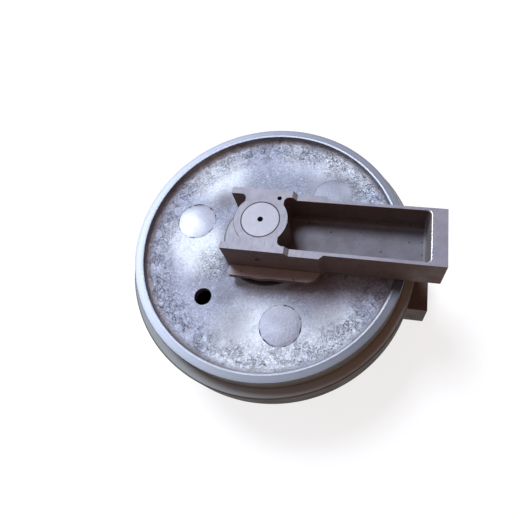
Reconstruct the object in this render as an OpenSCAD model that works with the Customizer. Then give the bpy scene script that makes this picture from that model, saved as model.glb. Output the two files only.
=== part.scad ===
// Front idler of an excavator track: a hollow cast wheel that turns on a fixed shaft
// between two cast brackets. The shaft stands along Z, the bracket arms point along +X,
// and the origin is on the shaft axis in the middle plane of the rim.
// The outboard side is +Z. Both brackets are the same casting, one of them turned over.

/* [Rim] */
// Diameter of the two treads that the track links roll on
tread_d = 540; // [500:1:580]
// Diameter of the centre flange that guides the links
flange_d = 580; // [560:1:620]
// Width of the rim from one machined ring face to the other
rim_w = 160; // [150:1:180]
// Width of the centre flange where it meets the treads
flange_w = 76; // [60:1:90]
// How much each side of the flange leans in on its way to the tip
flange_draft = 3; // [1:0.5:6]
// Chamfer along the tip of the flange
flange_chamfer = 3; // [1:0.5:5]
// Radial width of the machined ring face
ring_w = 17.5; // [12:0.5:24]
// Chamfer on both edges of the ring face
ring_chamfer = 1; // [0.5:0.5:4]
// Metal between the tread and the core cavity
rim_wall = 24; // [20:0.5:30]

/* [Webs and core] */
// Depth of the web face below the ring face
dish_depth = 18; // [18:0.5:26]
// Thickness of each side web
web_t = 18; // [16:0.5:22]
// Radius of the cast corner between web and rim
dish_fillet = 15; // [8:0.5:15]
// Radius of the corners of the core cavity
cavity_fillet = 12; // [6:0.5:16]
// Radius of the circle that the core holes lie on
core_pitch_r = 166.5; // [150:0.5:180]
// Diameter of a core plug and of its seat
core_plug_d = 80; // [70:1:90]
// Thickness of a core plug
core_plug_t = 12; // [8:0.5:13]
// Width of the ledge that a core plug sits on
core_ledge = 4; // [3:0.5:6]
// How far a core plug stands out of the web
core_plug_proud = 0.8; // [0.2:0.1:2]
// Angle of the first core hole, from the bracket arm
core_angle = 46.5; // [40:0.5:50]
// Diameter of the open vent hole in the outboard web
vent_d = 34; // [20:1:40]
// Radius of the vent hole's centre
vent_pitch_r = 164.5; // [150:0.5:180]
// Angle of the vent hole, from the bracket arm
vent_angle = 227.5; // [215:0.5:235]

/* [Hub, shaft and bushes] */
// Diameter of the shaft
shaft_d = 70; // [64:0.5:74]
// Radial running clearance between shaft and bush
running_clearance = 0.05; // [0.02:0.01:0.09]
// Radial clearance of pieces that sit fast in a seat
seat_clearance = 0.02; // [0.01:0.01:0.05]
// Chamfer on the shaft ends and on the bracket bore
shaft_chamfer = 1.2; // [0.6:0.1:2]
// Wall of a bush
bush_wall = 6; // [4:0.5:7]
// Length of a bush below its flange
bush_l = 50; // [40:1:54]
// How far the bush flange stands out past the bush
bush_flange_w = 4; // [3:0.5:4.5]
// Thickness of the bush flange
bush_flange_t = 4; // [3:0.5:6]
// End play between a bush flange and the nose of its bracket
end_play = 0.4; // [0.3:0.1:0.8]
// Metal between the bush and the core cavity
hub_wall = 21; // [16:0.5:26]
// Diameter of the raised hub boss at its face
hub_boss_d = 180; // [170:1:190]
// Height of the hub boss above the web
hub_boss_h = 10; // [8:0.5:11]
// Lean of the side of the hub boss
hub_boss_draft = 4; // [2:0.5:6]
// Depth of the oil chamber between the bushes
oil_chamber_depth = 4; // [2:0.5:8]
// Diameter of the oil gallery along the shaft
gallery_d = 10; // [8:0.5:12]
// Diameter of the hole from the gallery to the oil chamber
cross_hole_d = 8; // [6:0.5:10]
// Diameter of the oil plug
oil_plug_d = 14; // [13:0.5:18]
// Length of the oil plug
oil_plug_l = 14; // [10:0.5:20]
// Depth of the oil plug below the shaft end
oil_plug_recess = 2; // [1:0.5:4]
// Size of the oil plug's hexagon socket, across the corners
oil_socket_d = 8; // [6:0.5:9]
// Depth of the oil plug's hexagon socket
oil_socket_depth = 7; // [4:0.5:8]
// Mouth diameter of the lathe centre in the outboard shaft end
lathe_centre_d = 10; // [8:0.5:12]
// Pilot diameter of the lathe centre
lathe_pilot_d = 4.5; // [3:0.5:6]
// Depth of the lathe centre's pilot
lathe_pilot_l = 14; // [10:0.5:18]

/* [Face seals] */
// Gap between the hub boss and the bracket collar
labyrinth_gap = 3; // [2:0.5:4]
// Oil film between the two lapped seal rings
seal_film = 0.3; // [0.3:0.05:0.5]
// Radial gap between the bracket nose and the seal rings
seal_bore_gap = 3.5; // [2.5:0.5:5]
// Radial width of the sealing lip
seal_lip_w = 11.5; // [10:0.5:13]
// Thickness of the sealing lip at its rim
seal_lip_t = 3; // [2:0.5:4]
// Distance from the seal face to the root of the lip
seal_root_t = 5.5; // [5:0.5:7]
// Wall of a seal ring next to its lip
seal_root_w = 6; // [5:0.5:7]
// Wall of a seal ring at its thin end
seal_tail_w = 3.5; // [3:0.5:4.5]
// Length of a seal ring
seal_ring_l = 13.5; // [12:0.5:15]
// Section diameter of a rubber toric
toric_d = 9.4; // [8:0.2:10]
// Gap around a toric in its seat
toric_gap = 0.1; // [0.05:0.05:0.3]
// Room behind a toric in its housing
toric_end_gap = 0.9; // [0.5:0.1:1.5]
// Depth of the O-ring groove in the shaft
o_ring_depth = 4; // [3:0.5:5]
// Width of the O-ring groove
o_ring_groove_w = 5; // [4.5:0.5:7]
// Distance of the O-ring from the underside of the bracket plate
o_ring_h = 17; // [10:1:30]
// Gap around an O-ring in its groove
o_ring_gap = 0.05; // [0.02:0.01:0.1]

/* [Bracket] */
// Height of the hub face above the ring face of the rim
bracket_h = 92.4; // [85:0.1:100]
// Gap between the bracket plate and the ring face
arm_gap = 3; // [2:0.5:6]
// Thickness of the bracket plate
plate_t = 12.5; // [11.5:0.5:16]
// Distance from the shaft axis to the end of the arm
arm_l = 327; // [310:1:360]
// Width of the arm
arm_w = 110; // [100:1:116]
// Width across the two sliding pads
pad_w = 125; // [121:1:136]
// Distance from the shaft axis to the left end of the pads
pad_left = 63.6; // [60:0.1:70]
// Distance from the shaft axis to the right end of the pads
pad_right = 112.5; // [100:0.5:130]
// Drop from the hub face to the arm face
step_drop = 9.9; // [6:0.1:14]
// Distance from the shaft axis to the top of the step
step_x = 51.3; // [51:0.1:60]
// Length of the sloping step
step_run = 7.8; // [3:0.1:9]
// Diameter of the boss round the shaft
boss_d = 99; // [96:0.5:102]
// Thickness of the two rails beside the pocket
rail_t = 6; // [5:0.5:10]
// Thickness of the block at the end of the arm
end_block = 28.5; // [24:0.5:34]
// Radius of the pocket corners in the end block
pocket_corner_r = 8; // [4:0.5:14]
// Radius of the corner between pocket floor and walls
pocket_fillet = 11; // [6:0.5:14]
// Distance from the shaft axis to the centres of the pocket's round corners beside the boss
pocket_lobe_x = 47; // [46:0.5:52]
// Radius of the round corners beside the boss
lobe_r = 9.5; // [8:0.5:11]
// Distance from the shaft axis to the centres of the notches' round corners
notch_lobe_x = 44; // [42:0.5:48]
// Distance between the two ears beside the notches
notch_w = 100; // [96:0.5:104]
// Width of the guide flange
guide_w = 166; // [150:1:176]
// Distance from the shaft axis to the left end of the guide flange
guide_left = 62; // [58:0.5:66]
// Distance from the shaft axis to the right end of the guide flange
guide_right = 112; // [100:0.5:125]
// Radius of the right corners of the guide flange
guide_corner_r = 26; // [10:1:30]
// Radius of the left corners of the guide flange
guide_heel_r = 4; // [2:0.5:8]
// Diameter of the round collar plate
collar_plate_d = 170; // [164:1:178]
// Diameter of the seal collar under the plate
collar_d = 160; // [150:1:164]
// Wall of the nose that runs against the bush flange
nose_wall = 9.5; // [8:0.5:11]

/* [Fastening] */
// Diameter of a lock pin
lock_pin_d = 12; // [10:0.5:16]
// Distance of the lock pin below the hub face
lock_pin_drop = 40; // [30:0.5:50]
// Depth of the lock pin below the pad face
lock_pin_recess = 5; // [3:0.5:9]
// How far the lock pin reaches into the shaft
lock_pin_grip = 21; // [14:0.5:24]
// Tapping drill of the hole in the hub face
face_tap_d = 8.5; // [6.8:0.1:10.2]
// Depth of the hole in the hub face
face_tap_depth = 25; // [15:1:35]
// Distance of the hub face hole from the shaft axis, along the arm
face_tap_x = 28.5; // [26:0.5:30]
// Distance of the hub face hole from the shaft axis, across the arm
face_tap_y = 45.7; // [44:0.1:50]
// Tapping drill of the yoke bolt holes in the arm end
yoke_tap_d = 14; // [10:0.5:17.5]
// Depth of the yoke bolt holes
yoke_tap_depth = 21; // [16:0.5:22]
// Distance between the two yoke bolt holes
yoke_spacing = 64; // [50:1:80]

/* [Hidden] */
$fn = 96;

// Overshoot of cutting shapes past the surface that they cut
cut = 1;
core_count = 3;

// Wheel radii and heights
tread_r = tread_d / 2;
flange_r = flange_d / 2;
ring_z = rim_w / 2;
dish_r = tread_r - ring_w;
cavity_r = tread_r - rim_wall;
web_z = ring_z - dish_depth;
cavity_z = web_z - web_t;
shaft_r = shaft_d / 2;
bush_in_r = shaft_r + running_clearance;
bush_out_r = bush_in_r + bush_wall;
hub_bore_r = bush_out_r + seat_clearance;
hub_r = hub_bore_r + hub_wall;
hub_boss_r = hub_boss_d / 2;
hub_boss_z = web_z + hub_boss_h;

// Seal rings, measured outwards from the shaft axis and away from the seal face
bracket_bore_r = shaft_r + seat_clearance;
nose_r = bracket_bore_r + nose_wall;
seal_in_r = nose_r + seal_bore_gap;
ramp_lean = atan2(seal_root_w - seal_tail_w, seal_ring_l - seal_root_t);
toric_t = seal_root_t + toric_d / 2 + toric_gap;
toric_ramp_r = seal_in_r + seal_root_w - (toric_t - seal_root_t) * tan(ramp_lean);
toric_r = toric_ramp_r + (toric_d / 2 + toric_gap) / cos(ramp_lean);
housing_r = toric_r + toric_d / 2 + toric_gap;
housing_depth = toric_t + toric_d / 2 + toric_end_gap;
seal_z = hub_boss_z + labyrinth_gap / 2;
collar_z = hub_boss_z + labyrinth_gap;
hub_seat_z = seal_z - seal_film / 2 - housing_depth;
bracket_seat_z = seal_z + seal_film / 2 + housing_depth;
nose_z = hub_seat_z + bush_flange_t + end_play;

// Bracket heights
plate_z = ring_z + arm_gap;
plate_top_z = plate_z + plate_t;
hub_face_z = ring_z + bracket_h;
arm_face_z = hub_face_z - step_drop;
pin_z = hub_face_z - lock_pin_drop;
yoke_z = (plate_z + arm_face_z) / 2;

// Bracket plan
boss_r = boss_d / 2;
pad_step = (pad_w - arm_w) / 2;
pocket_w = arm_w - 2 * rail_t;
pocket_end = arm_l - end_block;
o_ring_z = plate_z + o_ring_h;
o_ring_d = o_ring_depth - 2 * o_ring_gap;
pin_in = shaft_r - lock_pin_grip;
pin_out = pad_w / 2 - lock_pin_recess;

// Turns a piece of the outboard side over to the inboard side
module inboard() {
    rotate([180, 0, 0]) children();
}

// What is cut off to round a corner that points along +X and +Y
module corner_cut(r) {
    difference() {
        translate([-r, -r]) square(r + cut);
        translate([-r, -r]) circle(r);
    }
}

// A bar from x = 0 to x = l, with rounded corners at its start and at its end
module rounded_bar(l, w, r_start, r_end) {
    difference() {
        translate([0, -w / 2]) square([l, w]);
        for (side = [0, 1]) mirror([0, side]) {
            translate([l, w / 2]) corner_cut(r_end);
            translate([0, w / 2]) mirror([1, 0]) corner_cut(r_start);
        }
    }
}

// A wall that follows a profile in the X-Z plane, w wide about y = 0
module along_y(w) {
    translate([0, w / 2, 0]) rotate([90, 0, 0]) linear_extrude(w) children();
}

// A drilled hole or a round bar from y = y0 to y = y1
module round_bar_y(r, y0, y1) {
    translate([0, y0, 0]) rotate([-90, 0, 0]) cylinder(h = y1 - y0, r = r);
}

// The full section of rim, treads and flange, with the dishes not yet cut
module rim_profile() {
    outboard_edge = [
        [flange_r, flange_w / 2 - flange_draft - flange_chamfer],
        [flange_r - flange_chamfer, flange_w / 2 - flange_draft],
        [tread_r, flange_w / 2],
        [tread_r, ring_z - ring_chamfer],
        [tread_r - ring_chamfer, ring_z],
        [0, ring_z]
    ];
    inboard_edge = [for (i = [len(outboard_edge) - 1 : -1 : 0]) [outboard_edge[i][0], -outboard_edge[i][1]]];
    polygon(concat(outboard_edge, inboard_edge));
}

// The dish between rim and hub boss on one side of the wheel
module dish_profile() {
    difference() {
        translate([0, web_z]) square([dish_r, dish_depth + cut]);
        translate([dish_r, web_z]) mirror([0, 1]) corner_cut(dish_fillet);
        polygon([
            [0, web_z - cut],
            [hub_boss_r + hub_boss_draft, web_z - cut],
            [hub_boss_r + hub_boss_draft, web_z],
            [hub_boss_r, hub_boss_z],
            [0, hub_boss_z]
        ]);
    }
    polygon([
        [dish_r - cut, ring_z - ring_chamfer],
        [dish_r, ring_z - ring_chamfer],
        [dish_r + ring_chamfer + cut, ring_z + cut],
        [dish_r - cut, ring_z + cut]
    ]);
}

// The bore of the wheel on one side: oil chamber, bush seat and seal housing
module hub_bore_profile() {
    square([hub_bore_r, hub_boss_z + cut]);
    square([hub_bore_r + oil_chamber_depth, hub_seat_z - bush_l]);
    translate([0, hub_seat_z]) square([housing_r, hub_boss_z]);
}

module idler_shell_profile() {
    difference() {
        rim_profile();
        for (side = [0, 1]) mirror([0, side]) {
            dish_profile();
            hub_bore_profile();
        }
        translate([hub_r, 0]) rounded_bar(cavity_r - hub_r, 2 * cavity_z, cavity_fillet, cavity_fillet);
    }
}

// The three places of the core holes, on the outboard web
module at_core_holes() {
    for (i = [0 : core_count - 1])
        rotate(core_angle + i * 360 / core_count) translate([core_pitch_r, 0, web_z]) children();
}

module core_holes() {
    at_core_holes() {
        translate([0, 0, -web_t - cut]) cylinder(h = web_t + 2 * cut, d = core_plug_d - 2 * core_ledge);
        translate([0, 0, -core_plug_t]) cylinder(h = core_plug_t + cut, d = core_plug_d);
    }
}

module idler_shell() {
    color("lightsteelblue") difference() {
        rotate_extrude() idler_shell_profile();
        core_holes();
        inboard() core_holes();
        rotate(vent_angle) translate([vent_pitch_r, 0, cavity_z - cut])
            cylinder(h = web_t + 2 * cut, d = vent_d);
    }
}

module core_plugs() {
    plug_r = core_plug_d / 2 - seat_clearance;
    color("gainsboro") at_core_holes() rotate_extrude() polygon([
        [0, -core_plug_t],
        [plug_r, -core_plug_t],
        [plug_r, -core_plug_proud],
        [plug_r - 2 * core_plug_proud, core_plug_proud],
        [0, core_plug_proud]
    ]);
}

module bush() {
    color("darkgoldenrod") rotate_extrude() {
        translate([bush_in_r, hub_seat_z - bush_l]) square([bush_wall, bush_l]);
        translate([bush_in_r, hub_seat_z]) square([bush_wall + bush_flange_w, bush_flange_t]);
    }
}

// Section of a seal ring, with its face on y = 0 and its tail along +Y
module seal_ring_profile() {
    polygon([
        [seal_in_r, 0],
        [seal_in_r + seal_lip_w, 0],
        [seal_in_r + seal_lip_w, seal_lip_t],
        [seal_in_r + seal_root_w, seal_root_t],
        [seal_in_r + seal_tail_w, seal_ring_l],
        [seal_in_r, seal_ring_l]
    ]);
}

module rotating_seal_ring() {
    color("dimgray") rotate_extrude()
        translate([0, seal_z - seal_film / 2]) mirror([0, 1]) seal_ring_profile();
}

module fixed_seal_ring() {
    color("slategray") rotate_extrude()
        translate([0, seal_z + seal_film / 2]) seal_ring_profile();
}

// A rubber ring of round section at radius r and height z
module rubber_ring(r, z, section_d) {
    color("black") rotate_extrude() translate([r, z]) circle(d = section_d);
}

module rotating_toric() {
    rubber_ring(toric_r, seal_z - seal_film / 2 - toric_t, toric_d);
}

module fixed_toric() {
    rubber_ring(toric_r, seal_z + seal_film / 2 + toric_t, toric_d);
}

module o_ring() {
    rubber_ring(shaft_r - o_ring_depth / 2, o_ring_z, o_ring_d);
}

module shaft_profile() {
    difference() {
        polygon([
            [0, -hub_face_z],
            [shaft_r - shaft_chamfer, -hub_face_z],
            [shaft_r, -hub_face_z + shaft_chamfer],
            [shaft_r, hub_face_z - shaft_chamfer],
            [shaft_r - shaft_chamfer, hub_face_z],
            [0, hub_face_z]
        ]);
        for (z = [-o_ring_z, o_ring_z])
            translate([shaft_r - o_ring_depth, z - o_ring_groove_w / 2])
                square([o_ring_depth + cut, o_ring_groove_w]);
    }
}

// Oil gallery with its plug seat, from the inboard end to the oil chamber
module oil_gallery() {
    plug_seat = oil_plug_l + oil_plug_recess;
    translate([0, 0, -hub_face_z - cut]) cylinder(h = hub_face_z + cut, d = gallery_d);
    translate([0, 0, -hub_face_z - cut]) cylinder(h = plug_seat + cut, d = oil_plug_d);
    rotate([0, 90, 0]) cylinder(h = shaft_r + cut, d = cross_hole_d);
}

module lathe_centre() {
    cone_h = (lathe_centre_d - lathe_pilot_d) / 2 / tan(30);
    translate([0, 0, hub_face_z - cone_h]) cylinder(h = cone_h, d1 = lathe_pilot_d, d2 = lathe_centre_d);
    translate([0, 0, hub_face_z - lathe_pilot_l]) cylinder(h = lathe_pilot_l + cut, d = lathe_pilot_d);
}

// The blind hole for the lock pin, through the lower pad into the shaft
module lock_pin_hole() {
    translate([0, 0, pin_z]) round_bar_y(lock_pin_d / 2 + seat_clearance, -pad_w / 2 - cut, -pin_in);
}

module shaft() {
    color("lightgray") difference() {
        rotate_extrude() shaft_profile();
        oil_gallery();
        lathe_centre();
        lock_pin_hole();
        inboard() lock_pin_hole();
    }
}

module lock_pin() {
    color("gray") translate([0, 0, pin_z]) round_bar_y(lock_pin_d / 2, -pin_out, -pin_in);
}

module oil_plug() {
    color("darkgray") translate([0, 0, -hub_face_z + oil_plug_recess]) difference() {
        cylinder(h = oil_plug_l, d = oil_plug_d - 2 * seat_clearance);
        translate([0, 0, -cut]) cylinder(h = oil_socket_depth + cut, d = oil_socket_d, $fn = 6);
    }
}

// Plan of the bracket plate: round collar plate, guide flange and floor of the arm
module plate_plan() {
    circle(d = collar_plate_d);
    translate([-guide_left, 0])
        rounded_bar(guide_left + guide_right, guide_w, guide_heel_r, guide_corner_r);
    translate([0, -arm_w / 2]) square([arm_l, arm_w]);
}

// Plan of the hub block, its two sliding pads and the arm
module block_plan() {
    polygon([
        [-pad_left, -pad_w / 2],
        [pad_right, -pad_w / 2],
        [pad_right + pad_step, -arm_w / 2],
        [arm_l, -arm_w / 2],
        [arm_l, arm_w / 2],
        [pad_right + pad_step, arm_w / 2],
        [pad_right, pad_w / 2],
        [-pad_left, pad_w / 2]
    ]);
}

// Plan of the open notches between the ears and the boss
module notch_plan() {
    difference() {
        translate([-notch_lobe_x + lobe_r, 0]) mirror([1, 0])
            rounded_bar(pad_left + cut, notch_w, lobe_r, 0);
        circle(boss_r);
    }
}

// Plan of the pocket between the rails, wrapped round the boss
module pocket_plan() {
    start = pocket_lobe_x - lobe_r;
    difference() {
        translate([start, 0]) rounded_bar(pocket_end - start, pocket_w, lobe_r, pocket_corner_r);
        circle(boss_r);
    }
}

// Hub block and arm, with the sloping step between hub face and arm face
module block() {
    intersection() {
        translate([0, 0, plate_z]) linear_extrude(hub_face_z - plate_z) block_plan();
        along_y(pad_w + 2 * cut) polygon([
            [-pad_left - cut, plate_z],
            [arm_l + cut, plate_z],
            [arm_l + cut, arm_face_z],
            [step_x + step_run, arm_face_z],
            [step_x, hub_face_z],
            [-pad_left - cut, hub_face_z]
        ]);
    }
}

// The pocket, with a cast fillet along its floor
module pocket() {
    depth = hub_face_z - plate_top_z + cut;
    intersection() {
        translate([0, 0, plate_top_z]) linear_extrude(depth) pocket_plan();
        translate([arm_l, 0, plate_top_z]) rotate([0, -90, 0])
            linear_extrude(arm_l) rounded_bar(depth, pocket_w, pocket_fillet, 0);
        along_y(pocket_w) difference() {
            translate([0, plate_top_z]) square([pocket_end, depth]);
            translate([pocket_end, plate_top_z]) mirror([0, 1]) corner_cut(pocket_fillet);
        }
    }
}

// Section of the bracket bore with its chamfer, and of the seal housing round the nose
module bracket_bore_profile() {
    square([bracket_bore_r, hub_face_z + cut]);
    polygon([
        [0, hub_face_z - shaft_chamfer],
        [bracket_bore_r, hub_face_z - shaft_chamfer],
        [bracket_bore_r + shaft_chamfer + cut, hub_face_z + cut],
        [0, hub_face_z + cut]
    ]);
    translate([nose_r, nose_z - cut]) square([housing_r - nose_r, bracket_seat_z - nose_z + cut]);
}

module yoke_holes() {
    for (y = [-yoke_spacing / 2, yoke_spacing / 2])
        translate([arm_l - yoke_tap_depth, y, yoke_z]) rotate([0, 90, 0])
            cylinder(h = yoke_tap_depth + cut, d = yoke_tap_d);
}

module bracket() {
    color("silver") difference() {
        union() {
            translate([0, 0, plate_z]) linear_extrude(plate_t) plate_plan();
            difference() {
                block();
                translate([0, 0, plate_top_z]) linear_extrude(hub_face_z) notch_plan();
            }
            translate([0, 0, collar_z]) cylinder(h = plate_top_z - collar_z, d = collar_d);
            translate([0, 0, nose_z]) cylinder(h = plate_top_z - nose_z, r = nose_r);
        }
        pocket();
        rotate_extrude() bracket_bore_profile();
        lock_pin_hole();
        translate([face_tap_x, face_tap_y, hub_face_z - face_tap_depth])
            cylinder(h = face_tap_depth + cut, d = face_tap_d);
        yoke_holes();
    }
}

module core_plugs_outboard() { core_plugs(); }
module core_plugs_inboard() { inboard() core_plugs(); }
module bush_outboard() { bush(); }
module bush_inboard() { inboard() bush(); }
module rotating_seal_ring_outboard() { rotating_seal_ring(); }
module rotating_seal_ring_inboard() { inboard() rotating_seal_ring(); }
module rotating_toric_outboard() { rotating_toric(); }
module rotating_toric_inboard() { inboard() rotating_toric(); }
module bracket_outboard() { bracket(); }
module bracket_inboard() { inboard() bracket(); }
module fixed_seal_ring_outboard() { fixed_seal_ring(); }
module fixed_seal_ring_inboard() { inboard() fixed_seal_ring(); }
module fixed_toric_outboard() { fixed_toric(); }
module fixed_toric_inboard() { inboard() fixed_toric(); }
module o_ring_outboard() { o_ring(); }
module o_ring_inboard() { inboard() o_ring(); }
module lock_pin_outboard() { lock_pin(); }
module lock_pin_inboard() { inboard() lock_pin(); }

idler_shell();
core_plugs_outboard();
core_plugs_inboard();
bush_outboard();
bush_inboard();
rotating_seal_ring_outboard();
rotating_seal_ring_inboard();
rotating_toric_outboard();
rotating_toric_inboard();
shaft();
bracket_outboard();
bracket_inboard();
fixed_seal_ring_outboard();
fixed_seal_ring_inboard();
fixed_toric_outboard();
fixed_toric_inboard();
o_ring_outboard();
o_ring_inboard();
lock_pin_outboard();
lock_pin_inboard();
oil_plug();
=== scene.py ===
# Looks of the excavator front idler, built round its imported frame. All lengths are in metres.
# The idler lies on its inboard side, shaft upright, with the bracket arms along +X.

import math

import bmesh
import bpy
from mathutils import Matrix, Vector, noise


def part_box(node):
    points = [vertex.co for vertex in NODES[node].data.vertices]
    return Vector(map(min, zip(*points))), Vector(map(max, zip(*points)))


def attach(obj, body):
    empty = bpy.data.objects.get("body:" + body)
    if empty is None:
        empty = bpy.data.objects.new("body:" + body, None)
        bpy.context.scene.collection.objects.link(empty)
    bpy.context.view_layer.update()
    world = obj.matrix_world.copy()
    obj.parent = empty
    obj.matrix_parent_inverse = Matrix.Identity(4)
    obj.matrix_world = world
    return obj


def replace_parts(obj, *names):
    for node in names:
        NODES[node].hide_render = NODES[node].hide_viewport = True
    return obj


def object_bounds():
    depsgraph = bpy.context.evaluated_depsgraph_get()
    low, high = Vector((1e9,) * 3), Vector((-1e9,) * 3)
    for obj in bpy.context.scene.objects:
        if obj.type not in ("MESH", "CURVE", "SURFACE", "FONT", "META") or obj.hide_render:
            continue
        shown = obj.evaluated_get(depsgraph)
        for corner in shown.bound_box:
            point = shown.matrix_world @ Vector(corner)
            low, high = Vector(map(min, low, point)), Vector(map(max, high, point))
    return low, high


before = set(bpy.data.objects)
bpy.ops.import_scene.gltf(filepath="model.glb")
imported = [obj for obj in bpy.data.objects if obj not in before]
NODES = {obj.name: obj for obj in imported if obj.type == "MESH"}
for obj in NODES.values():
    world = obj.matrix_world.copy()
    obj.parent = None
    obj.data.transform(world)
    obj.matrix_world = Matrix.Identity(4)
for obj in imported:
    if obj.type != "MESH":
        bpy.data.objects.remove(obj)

CAD_LOW, CAD_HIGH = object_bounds()
SIDES = {"outboard": 1, "inboard": -1}

# Wheel sizes, the outer ones taken from the frame
WHEEL_LOW, WHEEL_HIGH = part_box("idler_shell")
FLANGE_R = -WHEEL_LOW.x
FLANGE_HALF_W = 0.038
FLANGE_DRAFT = 0.003
FLANGE_CHAMFER = 0.003
FLANGE_FOOT_R = 0.002
TREAD_R = 0.270
RING_Z = WHEEL_HIGH.z
RING_W = 0.0175
RING_CHAMFER = 0.001
RING_BEVEL_W = 0.0038
RING_BEVEL_H = 0.0006
DISH_DEPTH = 0.018
DISH_R = TREAD_R - RING_W
DISH_FILLET = 0.015
WEB_T = 0.018
WEB_Z = RING_Z - DISH_DEPTH
RIM_T = 0.024
CAVITY_Z = WEB_Z - WEB_T
CAVITY_R = TREAD_R - RIM_T
CAVITY_FILLET = 0.012
HUB_BOSS_R = 0.090
HUB_BOSS_H = 0.010
HUB_BOSS_Z = WEB_Z + HUB_BOSS_H
HUB_BOSS_DRAFT = 0.004
HUB_BOSS_FILLET = 0.006
HUB_BOSS_EDGE_R = 0.002

# Bores of the hub, round the bush and the seal
BUSH_LOW, BUSH_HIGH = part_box("bush_outboard")
BUSH_FLANGE_W = 0.004
BUSH_FLANGE_T = 0.004
BUSH_SEAT_Z = BUSH_HIGH.z - BUSH_FLANGE_T
SEAT_CLEARANCE = 0.00002
HUB_BORE_R = BUSH_HIGH.x - BUSH_FLANGE_W + SEAT_CLEARANCE
HUB_WALL = 0.021
HUB_R = HUB_BORE_R + HUB_WALL
OIL_CHAMBER_DEPTH = 0.004
OIL_CHAMBER_R = HUB_BORE_R + OIL_CHAMBER_DEPTH
TORIC_CLEARANCE = 0.0001
SEAL_HOUSING_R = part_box("rotating_toric_outboard")[1].x + TORIC_CLEARANCE

# Core holes and vent hole in the webs
CORE_COUNT = 3
CORE_PITCH_R = 0.1665
CORE_LEDGE = 0.004
FIRST_CORE_DEGREES = 46.5
CORE_ANGLES = [math.radians(FIRST_CORE_DEGREES + 360 / CORE_COUNT * i) for i in range(CORE_COUNT)]
VENT_PITCH_R = 0.1645
VENT_R = 0.017
VENT_ANGLE = math.radians(227.5)
VENT_PLACE = (VENT_PITCH_R * math.cos(VENT_ANGLE), VENT_PITCH_R * math.sin(VENT_ANGLE))

# Core plugs. The last three values shape their ragged edges: a plug's edge stands back by its own seam
# times the noise above RAGGED_FROM, of which no more than RAGGED_MOST counts.
CORE_PLUG_R = 0.040
CORE_PLUG_T = 0.012
PLUG_RISE = 0.0008
PLUG_DOME = 0.0011
PLUG_RIPPLE = 0.0003
PLUG_CLEARANCE = 0.0001
PLUG_SHARP_ANGLE = math.radians(50)
PLUG_TURNS = 120
PLUG_STEPS = [0.2, 0.4, 0.6, 0.75, 0.87, 0.95, 1.0]
PLUG_SEAMS = [0.0015, 0.0100, 0.0100]
RAGGED_FROM = 0.48
RAGGED_MOST = 0.2

# Bracket heights and lengths
BRACKET_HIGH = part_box("bracket_outboard")[1]
HUB_FACE_Z = BRACKET_HIGH.z
ARM_STEP = 0.0099
ARM_FACE_Z = HUB_FACE_Z - ARM_STEP
ARM_L = BRACKET_HIGH.x
END_BLOCK_L = 0.0285
POCKET_START = 0.045
POCKET_END = ARM_L - END_BLOCK_L
POCKET_HALF_W = 0.05
LOWEST_MILLED_Z = 0.12

# Camera, fitted to the photograph of 520 by 520 pixels
PHOTO_PX = 520
FOCAL_PX = 475.83
OPTICAL_AXIS_PX = (288.50, 225.04)
CAMERA_PLACE = Vector((0.19767, -0.37200, 0.91736))
CAMERA_FORWARD = Vector((-0.17184, 0.43342, -0.88466))
CAMERA_RIGHT = Vector((0.98165, 0.15074, -0.11683))
SENSOR_MM = 36

# Light: one soft lamp from the upper left, a glow beside it, a weak warm surrounding and a pale floor.
# The horizon is white below the first sine of elevation and fades out up to the second.
LAMP_AZIMUTH = math.radians(132)
LAMP_ELEVATION = math.radians(63.5)
LAMP_STRENGTH = 3.1
LAMP_ANGLE = math.radians(19)
LAMP_COLOUR = (0.80, 0.868, 1.0)
AMBIENT_COLOUR = (0.240, 0.114, 0.074, 1)
GLOW_AZIMUTH = math.radians(158)
GLOW_ELEVATION = math.radians(42)
GLOW_REACH = math.radians(50)
GLOW_CORE = math.radians(18)
GLOW_COLOUR = (0.72, 0.81, 0.99, 1)
HORIZON_WHITE = 0.35
HORIZON_GONE = 0.55
WHITE = (1, 1, 1, 1)
FLOOR_BOUNCE = (0.36, 0.24, 0.17, 1)
FLOOR_TO_CAMERA = (0.24, 0.24, 0.24, 1)
FLOOR_LIFT = 0.80
FLOOR_SIZE = 60


def add_camera():
    data = bpy.data.cameras.new("camera")
    data.sensor_width = SENSOR_MM
    data.lens = FOCAL_PX / PHOTO_PX * data.sensor_width
    data.shift_x = (PHOTO_PX / 2 - OPTICAL_AXIS_PX[0]) / PHOTO_PX
    data.shift_y = (OPTICAL_AXIS_PX[1] - PHOTO_PX / 2) / PHOTO_PX
    camera = bpy.data.objects.new("camera", data)
    bpy.context.scene.collection.objects.link(camera)
    back = -CAMERA_FORWARD.normalized()
    right = (CAMERA_RIGHT - back * CAMERA_RIGHT.dot(back)).normalized()
    up = back.cross(right)
    turn = Matrix((right, up, back)).transposed()
    camera.matrix_world = Matrix.Translation(CAMERA_PLACE) @ turn.to_4x4()
    bpy.context.scene.camera = camera


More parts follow.
